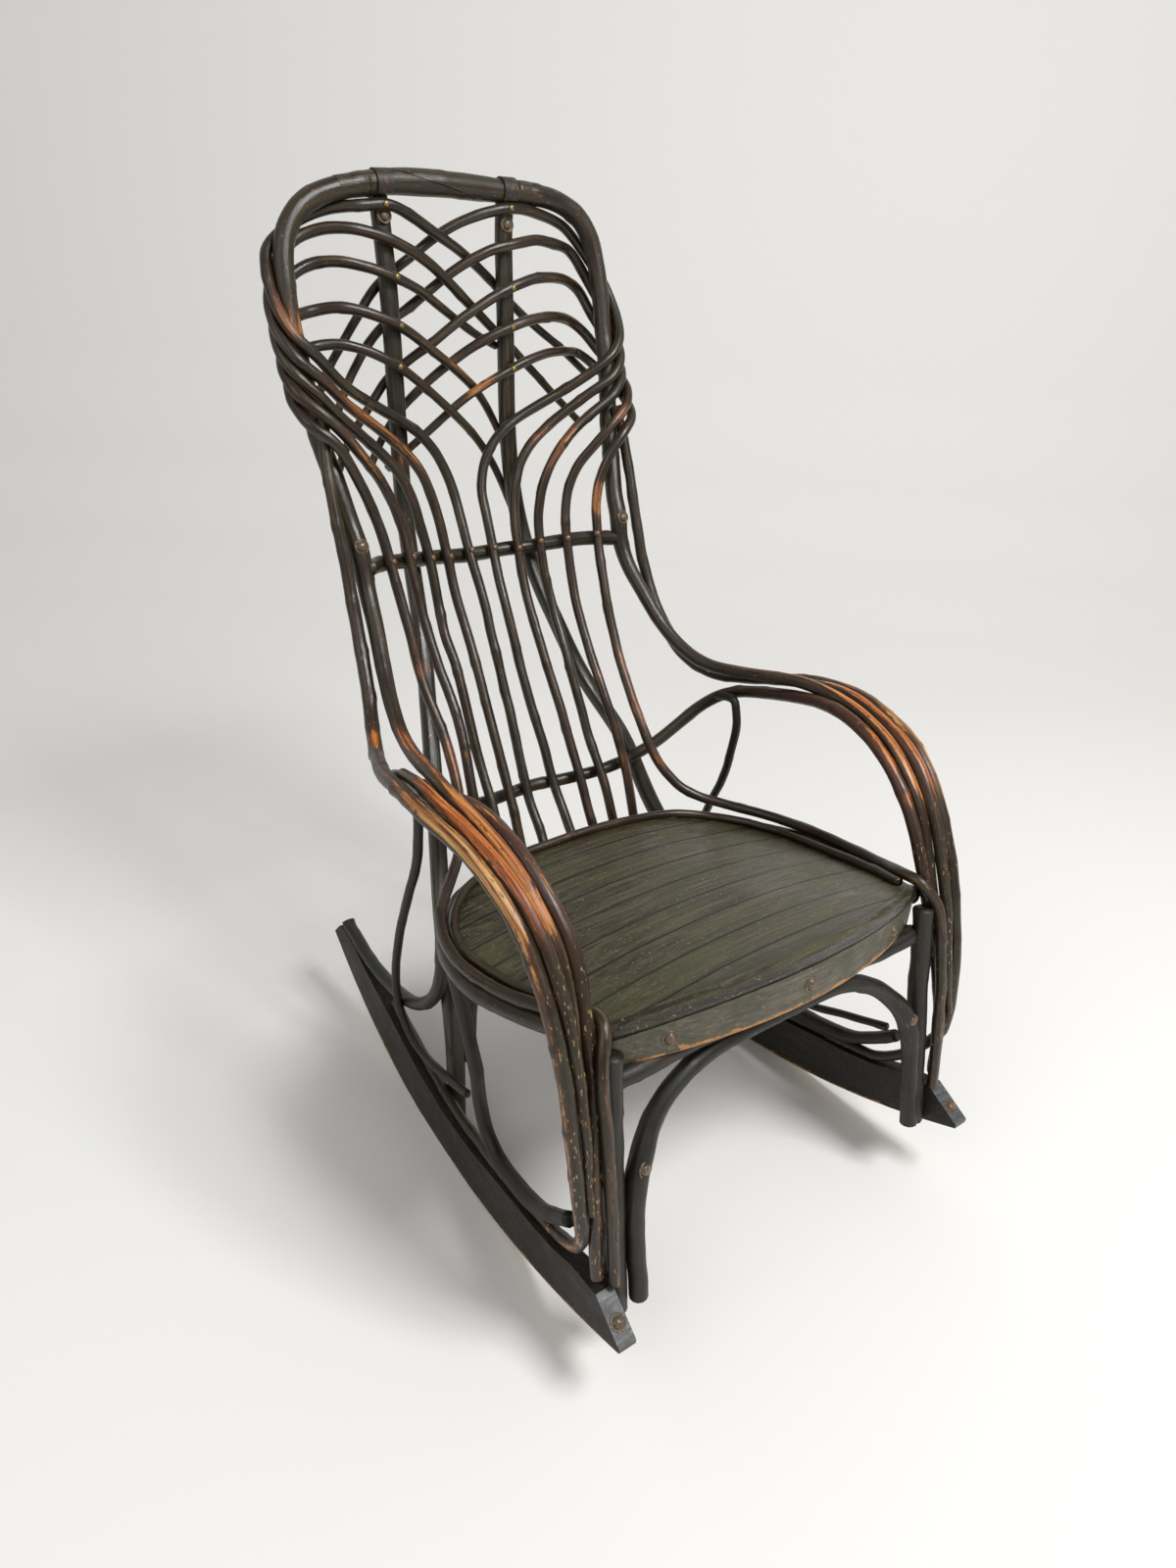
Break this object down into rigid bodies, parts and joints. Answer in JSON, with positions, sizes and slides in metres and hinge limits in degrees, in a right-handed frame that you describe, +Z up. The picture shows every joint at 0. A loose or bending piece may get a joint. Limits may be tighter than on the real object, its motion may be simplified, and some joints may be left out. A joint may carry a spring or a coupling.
{
  "type": "rocking chair",
  "caption": "Small bentwood rocking chair: bent rods wound round a hooped back and looped into arms, over a boarded seat on two sawn rockers.",
  "frame": {"origin": "middle of the outline on the floor, under the chair", "axes": "+Z up; the chair faces -Y; +X is the sitter's left"},
  "size_m": [0.4834, 0.6302, 0.8525],
  "materials": {
    "painted_rod": "old dark brown-green paint on bent rods, semi-gloss, worn through in streaks",
    "worn_arm_rod": "old dark paint worn to orange and tan wood along the tops, polished by hands",
    "seat_board": "old dark green-grey paint, semi-gloss, scuffed",
    "sawn_board": "old dark paint over sawn wood, edges chipped",
    "strap": "thin metal strap under old paint, coppery where worn",
    "bolt": "painted steel bolt head on a washer, worn at the edges"
  },
  "bodies": {
    "root": {"hoop_left": "painted_rod", "post_left": "painted_rod", "outer_arm_left": "worn_arm_rod", "middle_arm_left": "worn_arm_rod", "back_rod_left_1": "painted_rod", "back_rod_left_2": "painted_rod", "back_rod_left_3": "painted_rod", "back_rod_left_4": "painted_rod", "back_rod_left_5": "painted_rod", "front_post_left": "painted_rod", "leg_rod_left": "painted_rod", "tail_loop_left": "painted_rod", "scroll_rod_left": "painted_rod", "hoop_right": "painted_rod", "post_right": "painted_rod", "outer_arm_right": "worn_arm_rod", "middle_arm_right": "worn_arm_rod", "back_rod_right_1": "painted_rod", "back_rod_right_2": "painted_rod", "back_rod_right_3": "painted_rod", "back_rod_right_4": "painted_rod", "back_rod_right_5": "painted_rod", "front_post_right": "painted_rod", "leg_rod_right": "painted_rod", "tail_loop_right": "painted_rod", "scroll_rod_right": "painted_rod", "inner_arm_hoop": "worn_arm_rod", "crossbar": "painted_rod", "seat_hoop": "painted_rod", "seat_lip": "painted_rod", "front_brace": "painted_rod", "front_rail": "painted_rod", "rear_brace": "painted_rod", "rocker_left": "sawn_board", "rocker_right": "sawn_board", "seat_board_1": "seat_board", "seat_board_2": "seat_board", "seat_board_3": "seat_board", "seat_board_4": "seat_board", "seat_board_5": "seat_board", "seat_board_6": "seat_board", "seat_board_7": "seat_board", "seat_board_8": "seat_board", "seat_board_9": "seat_board", "apron": "sawn_board", "strap_left": "strap", "strap_right": "strap", "post_bolt_left": "bolt", "stile_bolt_left": "bolt", "brace_bolt_left": "bolt", "post_bolt_right": "bolt", "stile_bolt_right": "bolt", "brace_bolt_right": "bolt", "rocker_bolt_left": "bolt", "rocker_bolt_right": "bolt", "apron_bolt_1": "bolt", "apron_bolt_2": "bolt", "apron_bolt_3": "bolt"}
  },
  "joints": []
}
